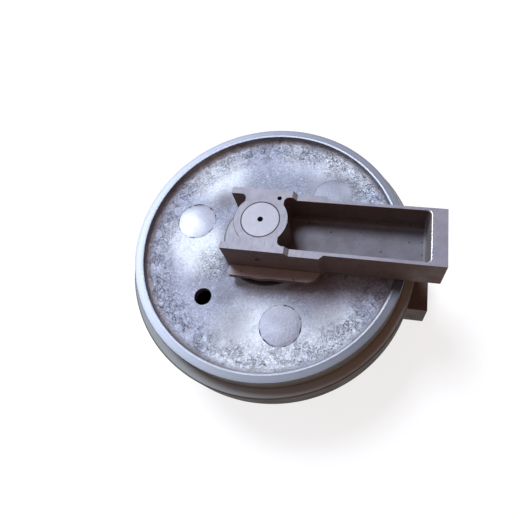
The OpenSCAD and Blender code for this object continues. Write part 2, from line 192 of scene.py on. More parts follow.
class Nodes:
    """Adds nodes to a tree. Most methods return an output to go on with."""

    def __init__(self, tree):
        self.tree = tree

    def node(self, kind, inputs, **settings):
        made = self.tree.nodes.new(kind)
        for key, value in settings.items():
            setattr(made, key, value)
        for key, value in inputs.items():
            self.put(made.inputs[key], value)
        return made

    def put(self, socket, value):
        if isinstance(value, bpy.types.NodeSocket):
            self.tree.links.new(value, socket)
        else:
            socket.default_value = value

    def parts(self, vector):
        return self.node("ShaderNodeSeparateXYZ", {"Vector": vector}).outputs

    def math(self, operation, a, b=0.0):
        return self.node("ShaderNodeMath", {0: a, 1: b}, operation=operation).outputs[0]

    def times(self, a, b):
        return self.math("MULTIPLY", a, b)

    def span(self, value, low, high, to_low=0.0, to_high=1.0):
        """A smooth step: to_low where the value is at low or before it, to_high at high or past it."""
        inputs = {"Value": value, "From Min": low, "From Max": high, "To Min": to_low, "To Max": to_high}
        return self.node("ShaderNodeMapRange", inputs, interpolation_type="SMOOTHSTEP").outputs[0]

    def blend(self, share, a, b):
        """Colour a with a share of colour b."""
        return self.node("ShaderNodeMix", {0: share, 6: a, 7: b}, data_type="RGBA").outputs[2]

    def seen_by_camera(self):
        """1 for camera, glossy and transmission rays, and 0 for the rays that carry diffuse light."""
        rays = self.node("ShaderNodeLightPath", {}).outputs
        seen = self.math("MAXIMUM", rays["Is Camera Ray"], rays["Is Glossy Ray"])
        return self.math("MAXIMUM", seen, rays["Is Transmission Ray"])


class Shader(Nodes):
    """A material round a Principled BSDF, with the patterns that the finishes are made of."""

    def __init__(self, name, metallic=0.0, specular=0.5):
        self.material = bpy.data.materials.new(name)
        self.material.use_nodes = True
        super().__init__(self.material.node_tree)
        self.bsdf = self.tree.nodes["Principled BSDF"]
        self.put(self.bsdf.inputs["Metallic"], metallic)
        self.put(self.bsdf.inputs["Specular IOR Level"], specular)

    def place(self):
        return self.node("ShaderNodeTexCoord", {}).outputs["Object"]

    def stretch(self, vector, scale):
        return self.node("ShaderNodeMapping", {"Vector": vector, "Scale": scale}).outputs[0]

    def vector(self, x, y, z):
        return self.node("ShaderNodeCombineXYZ", {"X": x, "Y": y, "Z": z}).outputs[0]

    def noise(self, vector, scale, detail, rough, distortion=0.0):
        inputs = {"Vector": vector, "Scale": scale, "Detail": detail, "Roughness": rough}
        inputs["Distortion"] = distortion
        return self.node("ShaderNodeTexNoise", inputs).outputs["Fac"]

    def cells(self, vector, scale):
        return self.node("ShaderNodeTexVoronoi", {"Vector": vector, "Scale": scale}).outputs["Distance"]

    def attribute(self, name):
        return self.node("ShaderNodeAttribute", {}, attribute_name=name).outputs["Fac"]

    def axis_distance(self, place):
        """Distance from the wheel axis."""
        x, y, _ = self.parts(place)
        flat = self.vector(x, y, 0.0)
        return self.node("ShaderNodeVectorMath", {0: flat}, operation="LENGTH").outputs["Value"]

    def in_section(self, place):
        """The place in the wheel's section, on which noise makes lines round the axis."""
        return self.vector(self.axis_distance(place), 0.0, self.parts(place)[2])

    def spot(self, place, centre, reach, core, most=1.0):
        """A round patch about a point of the outboard web: 0 beyond reach, and most within core."""
        away = self.node("ShaderNodeVectorMath", {0: place, 1: (*centre, WEB_Z)}, operation="DISTANCE")
        return self.span(away.outputs["Value"], reach, core, 0.0, most)

    def creases(self, place, scale, width):
        """1 along thin winding lines, 0 beside them."""
        field = self.noise(place, scale, 2, 0.5, 1.5)
        return self.span(self.math("ABSOLUTE", self.math("SUBTRACT", field, 0.5)), width, 0.0)

    def bump(self, height, depth, under=None):
        inputs = {"Height": height, "Distance": depth, "Strength": 1.0}
        if under is not None:
            inputs["Normal"] = under
        return self.node("ShaderNodeBump", inputs).outputs[0]

    def finish(self, colour, roughness, normal):
        self.put(self.bsdf.inputs["Base Color"], colour)
        self.put(self.bsdf.inputs["Roughness"], roughness)
        self.put(self.bsdf.inputs["Normal"], normal)
        return self.material


# Tones of the cast webs, among them painted highlights, glints, shade and a painted shadow
WEB_GREY = (0.236, 0.262, 0.335, 1)
WEB_CLEAN = (0.307, 0.343, 0.438, 1)
WEB_NEAR_RIM = (0.60, 0.67, 0.84, 1)
WEB_PAINTED_GLARE = (0.86, 0.94, 1.0, 1)
WEB_STAIN = (0.22, 0.215, 0.25, 1)
WEB_HOLLOW_SHADE = (0.13, 0.122, 0.14, 1)
WEB_CREST_GLINT = (0.74, 0.81, 0.96, 1)
WEB_TROUGH_SHADE = (0.085, 0.080, 0.098, 1)
WEB_CREASE_SHADE = (0.05, 0.044, 0.05, 1)
WEB_DULL_AND_SHADE = (0.145, 0.135, 0.15, 1)
WEB_NEAR_HUB = (0.16, 0.145, 0.15, 1)
WEB_FILLET_SHADE = (0.46, 0.43, 0.45, 1)
WEB_CORNER_SHADE = (0.06, 0.05, 0.06, 1)
WEB_CALM = (0.29, 0.308, 0.37, 1)
WEB_HOLE_SHADE = (0.12, 0.115, 0.11, 1)
WEB_ARM_SHADOW = (0.15, 0.070, 0.050, 1)

# Where tones of the webs begin and where they are full, as radii, and as heights in the holes
OUTER_RADII = (0.140, 0.240)
NEAR_RIM_RADII = (0.180, 0.232)
NEAR_HUB_RADII = (0.116, 0.098)
FILLET_SHADE_RADII = (DISH_R - 0.014, DISH_R - 0.006)
CORNER_SHADE_RADII = (DISH_R - 0.005, DISH_R - 0.0005)
HOLE_SHADE_HEIGHTS = (WEB_Z - 0.0020, WEB_Z - 0.0030)

# Painted highlights: places on the outboard web lightened where the lamp's glare falls, as (place, reach,
# core, share)
PAINTED_GLARE_SPOTS = [
    ((0.010, -0.210), 0.125, 0.045, 0.92),
    ((0.150, -0.170), 0.080, 0.030, 0.80),
    ((0.140, 0.185), 0.095, 0.030, 0.80),
    ((0.040, 0.232), 0.075, 0.020, 0.45),
    ((-0.140, 0.155), 0.090, 0.030, 0.80),
    ((-0.135, -0.025), 0.080, 0.025, 0.90),
    ((-0.185, 0.000), 0.060, 0.020, 0.60),
]

# Places on the outboard web that are darker, in the same form. The one at (0.124, -0.128) is painted shade
# that widens the shadow below the arm; the others darken the web in patches.
DULL_AND_SHADE_SPOTS = [
    ((-0.112, 0.094), 0.034, 0.006, 0.66),
    ((-0.068, -0.108), 0.036, 0.010, 0.45),
    ((-0.042, -0.172), 0.060, 0.004, 0.50),
    ((0.124, -0.128), 0.062, 0.010, 0.52),
]

# The outboard web's even place round the plug behind the arm, and its wrinkled one beside the hub
CALM_SPOT = ((0.115, 0.121), 0.074, 0.044, 0.75)
WRINKLED_SPOT = ((-0.105, -0.055), 0.055, 0.005)

# A painted shadow of the bracket's arm on the outboard web, in a band along X. Each edge says where it
# begins and is full.
ARM_SHADOW_LOWER_Y = (-0.136, -0.092)
ARM_SHADOW_UPPER_Y = (-0.030, -0.055)
ARM_SHADOW_LEFT_X = (-0.055, -0.020)
ARM_SHADOW_SHARE = 0.34


def painted_arm_shadow(web, place, patches):
    """Share of the painted shadow of the arm on the outboard web, broken up by patches."""
    x, y, z = web.parts(place)
    share = web.times(web.span(y, *ARM_SHADOW_LOWER_Y), web.span(y, *ARM_SHADOW_UPPER_Y))
    share = web.times(share, web.span(x, *ARM_SHADOW_LEFT_X, 0.0, ARM_SHADOW_SHARE))
    share = web.times(share, web.span(patches, 0.34, 0.58, 0.35, 1.0))
    outboard = web.span(z, 0.0, WEB_Z / 2)
    return web.times(share, outboard)


def cast_web_material():
    """Rough cast iron of the webs: pale blue grey, wrinkled and bright near the rim, calmer by the hub,
    with painted highlights, painted glints and shade on the wrinkles, painted shade in corners and holes,
    and a painted shadow of the arm.
    """
    web = Shader("cast_web", metallic=0.2)
    place = web.place()
    radius = web.axis_distance(place)
    clouds = web.noise(place, 18, 4, 0.6)
    patches = web.noise(place, 40, 3, 0.55)
    swells = web.noise(place, 75, 3, 0.5)
    lumps = web.noise(place, 300, 5, 0.68, 1.4)
    grain = web.noise(place, 560, 3, 0.6)
    outer = web.span(radius, *OUTER_RADII)
    by_rim = web.span(radius, *NEAR_RIM_RADII)
    by_hub = web.spot(place, *WRINKLED_SPOT)
    broken = web.span(patches, 0.38, 0.52, 0.35, 1.0)
    wild = web.times(web.math("MAXIMUM", outer, by_hub), broken)
    wild = web.math("MAXIMUM", wild, 0.5)
    creased = web.math("MAXIMUM", web.times(by_rim, broken), by_hub)
    creases = web.times(web.creases(place, 150, 0.042), creased)
    relief = web.attribute("relief")
    tone = web.blend(web.span(clouds, 0.36, 0.64), WEB_GREY, WEB_CLEAN)
    tone = web.blend(web.times(outer, 0.65), tone, WEB_NEAR_RIM)
    # Painted highlights where the lamp's glare falls on the outboard web
    for spot in PAINTED_GLARE_SPOTS:
        tone = web.blend(web.spot(place, *spot), tone, WEB_PAINTED_GLARE)
    tone = web.blend(web.span(patches, 0.50, 0.34, 0.0, 0.15), tone, WEB_STAIN)
    # Painted shade in the hollows of the cast skin, painted glints on the crests of the wrinkles, and
    # painted shade in their troughs and creases
    tone = web.blend(web.span(relief, -0.0002, -0.0009, 0.0, 0.2), tone, WEB_HOLLOW_SHADE)
    tone = web.blend(web.span(lumps, 0.51, 0.64, 0.0, 0.50), tone, WEB_CREST_GLINT)
    tone = web.blend(web.span(lumps, 0.50, 0.37, 0.0, 0.40), tone, WEB_TROUGH_SHADE)
    tone = web.blend(web.times(creases, 0.85), tone, WEB_CREASE_SHADE)
    # Darker patches, one of them painted shade that widens the shadow below the arm
    for spot in DULL_AND_SHADE_SPOTS:
        tone = web.blend(web.spot(place, *spot), tone, WEB_DULL_AND_SHADE)
    tone = web.blend(web.span(radius, *NEAR_HUB_RADII, 0.0, 0.4), tone, WEB_NEAR_HUB)
    # Painted shade on the fillet and in the corner at the foot of the dish's wall, below the ring
    tone = web.blend(web.span(radius, *FILLET_SHADE_RADII, 0.0, 0.6), tone, WEB_FILLET_SHADE)
    tone = web.blend(web.span(radius, *CORNER_SHADE_RADII, 0.0, 0.6), tone, WEB_CORNER_SHADE)
    tone = web.blend(web.spot(place, *CALM_SPOT), tone, WEB_CALM)
    # Painted shade on the walls of the holes
    from_middle = web.math("ABSOLUTE", web.parts(place)[2])
    in_hole_shade = web.span(from_middle, *HOLE_SHADE_HEIGHTS, 0.0, 0.95)
    tone = web.blend(in_hole_shade, tone, WEB_HOLE_SHADE)
    # Painted shadow of the bracket's arm
    tone = web.blend(painted_arm_shadow(web, place, patches), tone, WEB_ARM_SHADOW)
    rough_height = web.times(web.math("SUBTRACT", lumps, web.times(creases, 0.8)), wild)
    normal = web.bump(swells, 0.0010)
    normal = web.bump(rough_height, 0.0026, normal)
    normal = web.bump(grain, 0.00025, normal)
    return web.finish(tone, web.span(outer, 0.0, 1.0, 0.50, 0.36), normal)


# Tones of the core plugs, and round patches on the outboard ones as (place, reach, core, share, tone). The
# first, third and fourth patches are painted highlights; the second evens the tone of the plug behind the
# arm.
PLUG_DARK = (0.175, 0.180, 0.215, 1)
PLUG_LIGHT = (0.22, 0.228, 0.272, 1)
PLUG_GRAIN = (0.15, 0.145, 0.175, 1)
PLUG_SEAM = (0.03, 0.027, 0.032, 1)
PLUG_PATCHES_AND_HIGHLIGHTS = [
    ((-0.190, 0.025), 0.060, 0.012, 0.80, (0.55, 0.58, 0.62, 1)),
    ((0.125, 0.135), 0.060, 0.030, 0.80, (0.222, 0.236, 0.288, 1)),
    ((0.022, -0.180), 0.044, 0.010, 0.55, (0.31, 0.33, 0.40, 1)),
    ((0.155, 0.148), 0.036, 0.010, 0.60, (0.42, 0.45, 0.53, 1)),
]


def plug_material():
    """Core plugs: the web's iron again, rubbed smooth, with a dark broken seam, and painted highlights on
    the outboard ones.
    """
    plug = Shader("ground_plug", metallic=0.25)
    place = plug.place()
    clouds = plug.noise(place, 45, 4, 0.6)
    grain = plug.noise(place, 240, 4, 0.6)
    tone = plug.blend(plug.span(clouds, 0.34, 0.66), PLUG_DARK, PLUG_LIGHT)
    tone = plug.blend(plug.span(grain, 0.42, 0.28, 0.0, 0.4), tone, PLUG_GRAIN)
    # Patches on the outboard plugs, most of them painted highlights
    for *spot, patch_or_highlight_tone in PLUG_PATCHES_AND_HIGHLIGHTS:
        tone = plug.blend(plug.spot(place, *spot), tone, patch_or_highlight_tone)
    dashes = plug.span(plug.noise(place, 115, 3, 0.6), 0.50, 0.58)
    seam = plug.times(plug.span(plug.attribute("rim"), 0.955, 0.985), dashes)
    tone = plug.blend(plug.times(seam, 0.85), tone, PLUG_SEAM)
    return plug.finish(tone, plug.span(clouds, 0.3, 0.7, 0.38, 0.46), plug.bump(grain, 0.0006))


# Tones of the turned ring faces, their painted shade towards +X and -Y, on the inner bevel and on its lip,
# and the radii where the last two begin and are full
RING_DARK = (0.146, 0.157, 0.184, 1)
RING_LIGHT = (0.178, 0.19, 0.222, 1)
RING_STAIN = (0.19, 0.18, 0.19, 1)
RING_PAINTED_SHADE = (0.060, 0.062, 0.072, 1)
RING_BEVEL_SHADE = (0.105, 0.112, 0.128, 1)
RING_LIP_SHADE = (0.040, 0.042, 0.050, 1)
RING_PAINTED_SHADE_SPOT = ((0.110, -0.235), 0.380, 0.090, 0.85)
RING_BEVEL_SHADE_RADII = (DISH_R + RING_BEVEL_W + 0.0004, DISH_R + RING_BEVEL_W - 0.0002)
RING_LIP_SHADE_RADII = (DISH_R + 0.0020, DISH_R + 0.0008)


def turned_material():
    """Machined ring face: fine turning lines round the axis, painted shade over its side towards +X and
    -Y, a darker inner bevel that tempers its highlight, and a dark painted line of shade at the bevel's
    lip.
    """
    ring = Shader("turned_steel", metallic=0.5)
    place = ring.place()
    radius = ring.axis_distance(place)
    lines = ring.noise(ring.in_section(place), 2600, 2, 0.6)
    bands = ring.noise(ring.in_section(place), 420, 2, 0.5)
    stains = ring.noise(place, 30, 4, 0.6)
    bevel_shade = ring.span(radius, *RING_BEVEL_SHADE_RADII)
    lip_shade = ring.span(radius, *RING_LIP_SHADE_RADII, 0.0, 0.85)
    tone = ring.blend(ring.span(bands, 0.3, 0.7), RING_DARK, RING_LIGHT)
    tone = ring.blend(ring.span(stains, 0.58, 0.74, 0.0, 0.35), tone, RING_STAIN)
    # Painted shade over the ring towards +X and -Y, a darker inner bevel that tempers its highlight, and a
    # dark painted line of shade at its lip
    tone = ring.blend(ring.spot(place, *RING_PAINTED_SHADE_SPOT), tone, RING_PAINTED_SHADE)
    tone = ring.blend(ring.times(bevel_shade, 0.8), tone, RING_BEVEL_SHADE)
    tone = ring.blend(lip_shade, tone, RING_LIP_SHADE)
    return ring.finish(tone, ring.span(lines, 0.3, 0.7, 0.30, 0.38), ring.bump(lines, 0.00005))


# Tones of the rim, and the radii where those of the flange begin and are full. The flange's side is
# lighter as painted light, and its outer edge dark as painted shade.
RIM_GREY = (0.195, 0.222, 0.222, 1)
RIM_STAIN = (0.168, 0.176, 0.162, 1)
RIM_LINE = (0.222, 0.248, 0.248, 1)
FLANGE_SIDE_LIT = (0.335, 0.355, 0.355, 1)
FLANGE_EDGE_SHADE = (0.075, 0.070, 0.062, 1)
FLANGE_SIDE_LIT_RADII = (TREAD_R + 0.001, TREAD_R + 0.004)
FLANGE_EDGE_SHADE_RADII = (FLANGE_R - 0.003, FLANGE_R - 0.001)


def rim_material():
    """Treads and flange: turned, then dulled, with faint lines round the rim and brown stains, a flange
    side lightened as painted light and a flange edge darkened as painted shade.
    """
    rim = Shader("rim_steel", metallic=0.05, specular=0.1)
    place = rim.place()
    radius = rim.axis_distance(place)
    lines = rim.noise(rim.in_section(place), 900, 3, 0.6)
    stains = rim.noise(place, 26, 5, 0.62)
    grain = rim.noise(place, 500, 3, 0.6)
    tone = rim.blend(rim.span(stains, 0.35, 0.68), RIM_GREY, RIM_STAIN)
    tone = rim.blend(rim.span(lines, 0.35, 0.65, 0.0, 0.5), tone, RIM_LINE)
    # Painted light on the flange's side, and painted shade on its outer edge
    tone = rim.blend(rim.span(radius, *FLANGE_SIDE_LIT_RADII, 0.0, 0.8), tone, FLANGE_SIDE_LIT)
    tone = rim.blend(rim.span(radius, *FLANGE_EDGE_SHADE_RADII, 0.0, 0.95), tone, FLANGE_EDGE_SHADE)
    normal = rim.bump(grain, 0.0001, rim.bump(lines, 0.00012))
    return rim.finish(tone, rim.span(stains, 0.3, 0.7, 0.55, 0.70), normal)


# Tones of the milled bracket faces, and their dark lines of painted shade: radii about the shaft, half a
# width, and the
# X where two of them begin and are full
MILLED_DARK = (0.205, 0.20, 0.235, 1)
MILLED_LIGHT = (0.25, 0.245, 0.285, 1)
MILLED_MARK = (0.18, 0.17, 0.19, 1)
MILLED_GRAIN = (0.17, 0.155, 0.17, 1)
SHAFT_GAP_SHADE = (0.03, 0.028, 0.03, 1)
EDGE_SHADE_LINE = (0.05, 0.045, 0.05, 1)
SHAFT_GAP_SHADE_RADII = (0.0366, 0.0360)
BOSS_EDGE_R = 0.0490
BOSS_EDGE_HALF_W = (0.0011, 0.0005)
BOSS_EDGE_X = (-0.028, -0.036)
PLATE_EDGE_RADII = (0.0815, 0.0828)
PLATE_EDGE_X = (-0.062, -0.074)


def milled_material():
    """Milled faces of the brackets: light lilac steel with faint cutter marks, and thin dark lines of
    painted shade round the shaft, fuller on one side, and along edges of the boss and the plate.
    """
    face = Shader("milled_steel", metallic=0.15, specular=0.4)
    place = face.place()
    x, y, _ = face.parts(place)
    radius = face.axis_distance(place)
    marks = face.noise(face.stretch(place, (1.0, 0.06, 1.0)), 900, 2, 0.6)
    clouds = face.noise(place, 38, 4, 0.6)
    grain = face.noise(place, 330, 4, 0.6)
    tone = face.blend(face.span(clouds, 0.34, 0.68), MILLED_DARK, MILLED_LIGHT)
    tone = face.blend(face.span(marks, 0.45, 0.30, 0.0, 0.3), tone, MILLED_MARK)
    tone = face.blend(face.span(grain, 0.44, 0.28, 0.0, 0.55), tone, MILLED_GRAIN)
    # Painted shade: a dark line round the shaft, fuller on the side away from the lamp, and dark lines
    # along the edges of the boss and of the plate
    shaded = face.span(face.math("SUBTRACT", x, y), -0.046, -0.024, 0.30, 1.0)
    round_shaft_shade = face.span(radius, *SHAFT_GAP_SHADE_RADII)
    tone = face.blend(face.times(round_shaft_shade, shaded), tone, SHAFT_GAP_SHADE)
    from_boss_edge = face.math("ABSOLUTE", face.math("SUBTRACT", radius, BOSS_EDGE_R))
    on_boss_edge = face.span(from_boss_edge, *BOSS_EDGE_HALF_W)
    boss_edge_shade = face.times(on_boss_edge, face.span(x, *BOSS_EDGE_X, 0.0, 0.9))
    on_plate_edge = face.span(radius, *PLATE_EDGE_RADII)
    plate_edge_shade = face.times(on_plate_edge, face.span(x, *PLATE_EDGE_X, 0.0, 0.85))
    tone = face.blend(face.math("MAXIMUM", boss_edge_shade, plate_edge_shade), tone, EDGE_SHADE_LINE)
    normal = face.bump(grain, 0.00015, face.bump(marks, 0.00006))
    return face.finish(tone, face.span(marks, 0.3, 0.7, 0.42, 0.54), normal)


# Cast faces of the brackets, each as (two tones, tone of a lighter tip at -X), and what they share. The
# sides' dark tones are partly painted shade, and the lighter tones of the plate, its tip and the pocket's
# end wall are painted light.
BRACKET_CASTS = {
    "bracket_cast": ((0.140, 0.118, 0.112, 1), (0.128, 0.098, 0.088, 1), None),
    "plate_cast_lit": ((0.31, 0.255, 0.245, 1), (0.28, 0.215, 0.195, 1), (0.30, 0.31, 0.36, 1)),
    "pocket_cast": ((0.172, 0.170, 0.200, 1), (0.152, 0.142, 0.156, 1), None),
    "pocket_end": ((0.265, 0.248, 0.238, 1), (0.235, 0.218, 0.205, 1), None),
}
CAST_PIT = (0.05, 0.042, 0.045, 1)
CAST_GRAIN = (0.10, 0.088, 0.088, 1)
LIT_TIP_X = (-0.046, -0.066)


def bracket_cast_material(name):
    """A cast face of the brackets: dull brown grey between two tones, with small pits, and on the plate a
    lighter tip at -X as painted light.
    """
    cast = Shader(name, metallic=0.05, specular=0.08)
    light, dark, lit_tip = BRACKET_CASTS[name]
    place = cast.place()
    clouds = cast.noise(place, 30, 4, 0.6)
    grain = cast.noise(place, 260, 4, 0.6, 0.3)
    pits = cast.cells(place, 52)
    tone = cast.blend(cast.span(clouds, 0.34, 0.68), light, dark)
    # Painted light: a lighter tip towards -X, where the glow falls
    if lit_tip:
        tone = cast.blend(cast.span(cast.parts(place)[0], *LIT_TIP_X), tone, lit_tip)
    tone = cast.blend(cast.span(pits, 0.13, 0.07, 0.0, 0.75), tone, CAST_PIT)
    tone = cast.blend(cast.span(grain, 0.42, 0.30, 0.0, 0.5), tone, CAST_GRAIN)
    return cast.finish(tone, cast.span(clouds, 0.3, 0.7, 0.42, 0.54), cast.bump(grain, 0.0006))


# Smooth machined metals, each as (light tone, dark tone, roughness, metallic)
PLAIN_METALS = {
    "bored_steel": ((0.34, 0.34, 0.36, 1), (0.26, 0.26, 0.27, 1), 0.42, 0.4),
    # The cored iron is very light as painted light, so that the cavity seen through the vent is less
    # black.
    "cored_iron": ((0.80, 0.74, 0.70, 1), (0.70, 0.62, 0.57, 1), 0.80, 0.0),
    # The pocket rim's edge tone is light partly as wear and partly as a painted highlight.
    "worn_edge_and_glint": ((0.46, 0.47, 0.52, 1), (0.38, 0.38, 0.42, 1), 0.28, 0.6),
    "pin_steel": ((0.16, 0.15, 0.15, 1), (0.10, 0.09, 0.09, 1), 0.50, 0.4),
    "bush_bronze": ((0.50, 0.33, 0.14, 1), (0.38, 0.24, 0.10, 1), 0.35, 0.9),
    "seal_iron": ((0.22, 0.22, 0.23, 1), (0.15, 0.15, 0.16, 1), 0.30, 0.4),
}


def plain_metal_material(name):
    """One of the plain metals, with a little uneven tone."""
    light, dark, rough, metallic = PLAIN_METALS[name]
    metal = Shader(name, metallic)
    place = metal.place()
    clouds = metal.noise(place, 60, 4, 0.6)
    grain = metal.noise(place, 900, 3, 0.6)
    tone = metal.blend(metal.span(clouds, 0.32, 0.70), dark, light)
    roughness = metal.span(grain, 0.3, 0.7, rough - 0.05, rough + 0.05)
    return metal.finish(tone, roughness, metal.bump(grain, 0.00004))


# Tones of the shaft, and the radii where those of its lathe centre begin and are full: painted shade in
# the centre, and a painted glint at its point
SHAFT_DARK = (0.26, 0.255, 0.29, 1)
SHAFT_LIGHT = (0.29, 0.285, 0.325, 1)
SHAFT_CENTRE_SHADE = (0.012, 0.009, 0.012, 1)
CENTRE_SHADE_RADII = (0.0056, 0.0050)
POINT_GLINT_RADII = (0.0018, 0.0008)


def shaft_material():
    """Ground lilac steel. The lathe centre in the end is painted dark as shade, round a lighter point that
    is a painted glint.
    """
    steel = Shader("shaft_steel", metallic=0.15)
    place = steel.place()
    radius = steel.axis_distance(place)
    clouds = steel.noise(place, 60, 4, 0.6)
    grain = steel.noise(place, 900, 3, 0.6)
    tone = steel.blend(steel.span(clouds, 0.32, 0.70), SHAFT_DARK, SHAFT_LIGHT)
    # Painted shade in the lathe centre, and a painted glint at its point
    tone = steel.blend(steel.span(radius, *CENTRE_SHADE_RADII), tone, SHAFT_CENTRE_SHADE)
    tone = steel.blend(steel.span(radius, *POINT_GLINT_RADII, 0.0, 0.5), tone, SHAFT_DARK)
    return steel.finish(tone, steel.span(grain, 0.3, 0.7, 0.41, 0.51), steel.bump(grain, 0.00004))


# Tones of the rubber
RUBBER_BLACK = (0.012, 0.012, 0.013, 1)
RUBBER_BLOOM = (0.03, 0.03, 0.03, 1)


def rubber_material():
    """Black rubber with a faint grey bloom."""
    rubber = Shader("rubber", specular=0.4)
    place = rubber.place()
    bloom = rubber.noise(place, 80, 4, 0.6)
    grain = rubber.noise(place, 1500, 2, 0.5)
    tone = rubber.blend(rubber.span(bloom, 0.35, 0.7), RUBBER_BLACK, RUBBER_BLOOM)
    return rubber.finish(tone, rubber.span(grain, 0.3, 0.7, 0.5, 0.7), rubber.bump(grain, 0.00004))


def add_floor():
    """A pale floor under the idler. The camera and mirrors see it near white, with the idler's shadow."""
    bpy.ops.mesh.primitive_plane_add(size=FLOOR_SIZE, location=(0, 0, CAD_LOW.z))
    floor = bpy.context.object
    floor.name = "floor"
    material = bpy.data.materials.new("floor")
    material.use_nodes = True
    material.node_tree.nodes.clear()
    nodes = Nodes(material.node_tree)
    seen = nodes.seen_by_camera()
    colour = nodes.blend(seen, FLOOR_BOUNCE, FLOOR_TO_CAMERA)
    diffuse = nodes.node("ShaderNodeBsdfDiffuse", {"Color": colour})
    lift = nodes.node("ShaderNodeEmission", {"Strength": nodes.times(seen, FLOOR_LIFT)})
    both = nodes.node("ShaderNodeAddShader", {0: diffuse.outputs[0], 1: lift.outputs[0]})
    nodes.node("ShaderNodeOutputMaterial", {"Surface": both.outputs[0]})
    floor.data.materials.append(material)


def aim(azimuth, elevation):
    """The unit vector towards a place in the sky."""
    flat = math.cos(elevation)
    return Vector((flat * math.cos(azimuth), flat * math.sin(azimuth), math.sin(elevation)))


def add_lamp():
    lamp = bpy.data.lights.new("soft_lamp", "SUN")
    lamp.energy = LAMP_STRENGTH
    lamp.angle = LAMP_ANGLE
    lamp.color = LAMP_COLOUR
    placed = bpy.data.objects.new("soft_lamp", lamp)
    bpy.context.scene.collection.objects.link(placed)
    placed.rotation_euler = aim(LAMP_AZIMUTH, LAMP_ELEVATION).to_track_quat("Z", "Y").to_euler()


def add_surroundings():
    """A warm surrounding with a bluish glow. The camera and mirrors see it white near the horizon."""
    world = bpy.data.worlds.new("studio")
    bpy.context.scene.world = world
    world.use_nodes = True
    nodes = Nodes(world.node_tree)
    direction = nodes.node("ShaderNodeTexCoord", {}).outputs["Generated"]
    near_horizon = nodes.span(nodes.parts(direction)[2], HORIZON_GONE, HORIZON_WHITE)
    white_share = nodes.times(nodes.seen_by_camera(), near_horizon)
    glow_aim = aim(GLOW_AZIMUTH, GLOW_ELEVATION)
    towards_glow = nodes.node("ShaderNodeVectorMath", {0: direction, 1: glow_aim}, operation="DOT_PRODUCT")
    glow_share = nodes.span(towards_glow.outputs["Value"], math.cos(GLOW_REACH), math.cos(GLOW_CORE))
    light = nodes.blend(glow_share, AMBIENT_COLOUR, GLOW_COLOUR)
    colour = nodes.blend(white_share, light, WHITE)
    nodes.put(world.node_tree.nodes["Background"].inputs["Color"], colour)


def smoothstep(low, high, value):
    share = min(1.0, max(0.0, (value - low) / (high - low)))
    return share * share * (3 - 2 * share)


# The wheel's section: corners as (radius, height, corner radius, finish of the stretch that follows)
CAST, TURNED, RIM, BORE, CORED = range(5)
EDGE_R = 0.0008
RING_EDGE_R = 0.0003
CAST_STEP = 0.0026
PLAIN_STEP = 0.012
WHEEL_TURNS = 600
WHEEL_SHARP_ANGLE = math.radians(38)


def wheel_half_section():
    """The outboard half of the wheel's outer section, from the bore outwards to the flange."""
    return [
        (OIL_CHAMBER_R, BUSH_LOW.z, 0, BORE),
        (HUB_BORE_R, BUSH_LOW.z, 0, BORE),
        (HUB_BORE_R, BUSH_SEAT_Z, 0, BORE),
        (SEAL_HOUSING_R, BUSH_SEAT_Z, 0, BORE),
        (SEAL_HOUSING_R, HUB_BOSS_Z, EDGE_R, TURNED),
        (HUB_BOSS_R, HUB_BOSS_Z, HUB_BOSS_EDGE_R, CAST),
        (HUB_BOSS_R + HUB_BOSS_DRAFT, WEB_Z, HUB_BOSS_FILLET, CAST),
        (DISH_R, WEB_Z, DISH_FILLET, CAST),
        (DISH_R, RING_Z - RING_BEVEL_H, RING_EDGE_R, TURNED),
        (DISH_R + RING_BEVEL_W, RING_Z, RING_EDGE_R, TURNED),
        (TREAD_R - RING_CHAMFER, RING_Z, RING_EDGE_R, TURNED),
        (TREAD_R, RING_Z - RING_CHAMFER, RING_EDGE_R, RIM),
        (TREAD_R, FLANGE_HALF_W, FLANGE_FOOT_R, RIM),
        (FLANGE_R - FLANGE_CHAMFER, FLANGE_HALF_W - FLANGE_DRAFT, EDGE_R, RIM),
        (FLANGE_R, FLANGE_HALF_W - FLANGE_DRAFT - FLANGE_CHAMFER, EDGE_R, RIM),
    ]


def cavity_section():
    """The closed section of the core cavity inside the wheel."""
    return [
        (HUB_R, CAVITY_Z, CAVITY_FILLET, CORED),
        (HUB_R, -CAVITY_Z, CAVITY_FILLET, CORED),
        (CAVITY_R, -CAVITY_Z, CAVITY_FILLET, CORED),
        (CAVITY_R, CAVITY_Z, CAVITY_FILLET, CORED),
    ]


def mirrored_section(half):
    """Adds the inboard half, with each stretch keeping its finish."""
    back = []
    for i in range(len(half) - 1, -1, -1):
        radius, height, corner, _ = half[i]
        finish = half[i - 1][3] if i else BORE
        back.append((radius, -height, corner, finish))
    return half + back


def section_points(corners):
    """Rounds the corners of a closed section and splits its stretches into short steps."""
    count = len(corners)
    points = []
    for i in range(count):
        before, here, after = (Vector(corners[(i + k) % count][:2]) for k in (-1, 0, 1))
        radius, finish = corners[i][2:]
        arrive, leave = (before - here).normalized(), (after - here).normalized()
        half_turn = arrive.angle(leave) / 2
        reach = radius / math.tan(half_turn) if radius else 0
        start, end = here + arrive * reach, here + leave * reach
        finish_before = corners[i - 1][3]
        if radius:
            centre = here + (arrive + leave).normalized() * (radius / math.sin(half_turn))
            steps = max(3, round(radius * (math.pi - 2 * half_turn) / CAST_STEP))
            for k in range(steps):
                at = (start - centre).slerp(end - centre, k / steps) * radius
                points.append((*(centre + at), finish_before))
        points.append((*end, finish))
    dense = []
    for i, (r0, z0, finish) in enumerate(points):
        r1, z1, _ = points[(i + 1) % len(points)]
        step = CAST_STEP if finish == CAST else PLAIN_STEP
        pieces = max(1, math.ceil(math.hypot(r1 - r0, z1 - z0) / step))
        for k in range(pieces):
            share = k / pieces
            dense.append((r0 + (r1 - r0) * share, z0 + (z1 - z0) * share, finish))
    return dense


